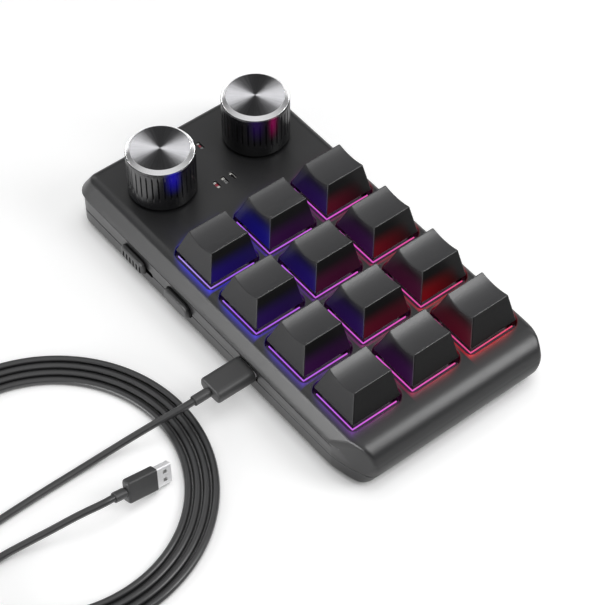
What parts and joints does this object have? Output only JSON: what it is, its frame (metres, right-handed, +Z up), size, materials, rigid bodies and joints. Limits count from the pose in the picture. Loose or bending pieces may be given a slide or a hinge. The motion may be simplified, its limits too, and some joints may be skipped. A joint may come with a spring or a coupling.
{
  "type": "macro keypad with knobs",
  "caption": "Low desktop macro keypad: a block of backlit keys, rotary knobs with turned metal tops, a side slide switch and button, and a coiled USB lead.",
  "frame": {"origin": "centre of the case footprint on the surface it stands on", "axes": "+Z up, +Y from the keys towards the knobs, +X away from the side with the lead, the slide switch and the side button"},
  "size_m": [0.196, 0.1438, 0.0375],
  "materials": {
    "case_black": "fine satin texture",
    "key_black": "fine matte texture",
    "knob_black": "gloss",
    "knob_metal": "turned face with a bright bevel",
    "light_violet": "translucent, lit from below",
    "board_green": "solder mask",
    "chip_black": "moulded",
    "foot_rubber": "matte",
    "screw_steel": "plain",
    "housing_clear": "translucent",
    "led_cream": "clear lens",
    "window_clear": "clear",
    "battery_foil": "foil pouch",
    "socket_steel": "tinned",
    "plate_steel": "powder coated",
    "part_steel": "plain",
    "control_black": "satin",
    "rotor_black": "moulded",
    "stem_red": "moulded",
    "cord_black": "satin jacket",
    "plug_steel": "bright",
    "tongue_white": "moulded"
  },
  "bodies": {
    "case": {"bottom_shell": "case_black", "top_cover": "case_black", "light_guide": "light_violet", "switch_plate": "plate_steel", "main_pcb": "board_green", "controller_chip": "chip_black", "rubber_feet": "foot_rubber", "case_screws": "screw_steel", "switch_housings": "housing_clear", "key_leds": "led_cream", "indicator_leds": "led_cream", "indicator_windows": "window_clear", "battery": "battery_foil", "usb_socket": "socket_steel", "slide_switch_body": "part_steel", "side_button_switch": "part_steel", "left_encoder_body": "part_steel", "right_encoder_body": "part_steel", "usb_c_overmold": "cord_black", "usb_c_shell": "plug_steel", "keypad_lead": "cord_black", "cable_coil": "cord_black", "plug_lead": "cord_black", "plug_overmold": "cord_black", "plug_shell": "plug_steel", "plug_tongue": "tongue_white"},
    "left_knob_rotor": {"left_encoder_rotor": "rotor_black"},
    "left_knob": {"left_encoder_shaft": "part_steel", "left_knob_body": "knob_black", "left_knob_cap": "knob_metal"},
    "right_knob_rotor": {"right_encoder_rotor": "rotor_black"},
    "right_knob": {"right_encoder_shaft": "part_steel", "right_knob_body": "knob_black", "right_knob_cap": "knob_metal"},
    "slide_switch": {"slide_switch_knob": "control_black"},
    "side_button": {"side_button": "control_black"},
    "key_a1": {"keycap_a1": "key_black", "key_stem_a1": "stem_red"},
    "key_a2": {"keycap_a2": "key_black", "key_stem_a2": "stem_red"},
    "key_a3": {"keycap_a3": "key_black", "key_stem_a3": "stem_red"},
    "key_a4": {"keycap_a4": "key_black", "key_stem_a4": "stem_red"},
    "key_b1": {"keycap_b1": "key_black", "key_stem_b1": "stem_red"},
    "key_b2": {"keycap_b2": "key_black", "key_stem_b2": "stem_red"},
    "key_b3": {"keycap_b3": "key_black", "key_stem_b3": "stem_red"},
    "key_b4": {"keycap_b4": "key_black", "key_stem_b4": "stem_red"},
    "key_c1": {"keycap_c1": "key_black", "key_stem_c1": "stem_red"},
    "key_c2": {"keycap_c2": "key_black", "key_stem_c2": "stem_red"},
    "key_c3": {"keycap_c3": "key_black", "key_stem_c3": "stem_red"},
    "key_c4": {"keycap_c4": "key_black", "key_stem_c4": "stem_red"}
  },
  "joints": [
    {"name": "left_knob_turn", "type": "hinge", "parent": "case", "child": "left_knob_rotor", "pos_m": [-0.01855, 0.0499, 0.0205], "axis": [0, 0, 1], "continuous": true},
    {"name": "left_knob_push", "type": "slide", "parent": "left_knob_rotor", "child": "left_knob", "axis": [0, 0, -1], "range_m": [0, 0.0004], "stiffness_N_per_m": 6000, "springref_m": -0.0004},
    {"name": "right_knob_turn", "type": "hinge", "parent": "case", "child": "right_knob_rotor", "pos_m": [0.01855, 0.0499, 0.0205], "axis": [0, 0, 1], "continuous": true},
    {"name": "right_knob_push", "type": "slide", "parent": "right_knob_rotor", "child": "right_knob", "axis": [0, 0, -1], "range_m": [0, 0.0004], "stiffness_N_per_m": 6000, "springref_m": -0.0004},
    {"name": "slide_switch_slide", "type": "slide", "parent": "case", "child": "slide_switch", "axis": [0, -1, 0], "range_m": [0, 0.0034]},
    {"name": "side_button_press", "type": "slide", "parent": "case", "child": "side_button", "axis": [1, 0, 0], "range_m": [0, 0.00035], "stiffness_N_per_m": 3000, "springref_m": -0.0002},
    {"name": "key_a1_press", "type": "slide", "parent": "case", "child": "key_a1", "axis": [0, 0, -1], "range_m": [0, 0.004], "stiffness_N_per_m": 75, "springref_m": -0.004},
    {"name": "key_a2_press", "type": "slide", "parent": "case", "child": "key_a2", "axis": [0, 0, -1], "range_m": [0, 0.004], "stiffness_N_per_m": 75, "springref_m": -0.004},
    {"name": "key_a3_press", "type": "slide", "parent": "case", "child": "key_a3", "axis": [0, 0, -1], "range_m": [0, 0.004], "stiffness_N_per_m": 75, "springref_m": -0.004},
    {"name": "key_a4_press", "type": "slide", "parent": "case", "child": "key_a4", "axis": [0, 0, -1], "range_m": [0, 0.004], "stiffness_N_per_m": 75, "springref_m": -0.004},
    {"name": "key_b1_press", "type": "slide", "parent": "case", "child": "key_b1", "axis": [0, 0, -1], "range_m": [0, 0.004], "stiffness_N_per_m": 75, "springref_m": -0.004},
    {"name": "key_b2_press", "type": "slide", "parent": "case", "child": "key_b2", "axis": [0, 0, -1], "range_m": [0, 0.004], "stiffness_N_per_m": 75, "springref_m": -0.004},
    {"name": "key_b3_press", "type": "slide", "parent": "case", "child": "key_b3", "axis": [0, 0, -1], "range_m": [0, 0.004], "stiffness_N_per_m": 75, "springref_m": -0.004},
    {"name": "key_b4_press", "type": "slide", "parent": "case", "child": "key_b4", "axis": [0, 0, -1], "range_m": [0, 0.004], "stiffness_N_per_m": 75, "springref_m": -0.004},
    {"name": "key_c1_press", "type": "slide", "parent": "case", "child": "key_c1", "axis": [0, 0, -1], "range_m": [0, 0.004], "stiffness_N_per_m": 75, "springref_m": -0.004},
    {"name": "key_c2_press", "type": "slide", "parent": "case", "child": "key_c2", "axis": [0, 0, -1], "range_m": [0, 0.004], "stiffness_N_per_m": 75, "springref_m": -0.004},
    {"name": "key_c3_press", "type": "slide", "parent": "case", "child": "key_c3", "axis": [0, 0, -1], "range_m": [0, 0.004], "stiffness_N_per_m": 75, "springref_m": -0.004},
    {"name": "key_c4_press", "type": "slide", "parent": "case", "child": "key_c4", "axis": [0, 0, -1], "range_m": [0, 0.004], "stiffness_N_per_m": 75, "springref_m": -0.004}
  ]
}
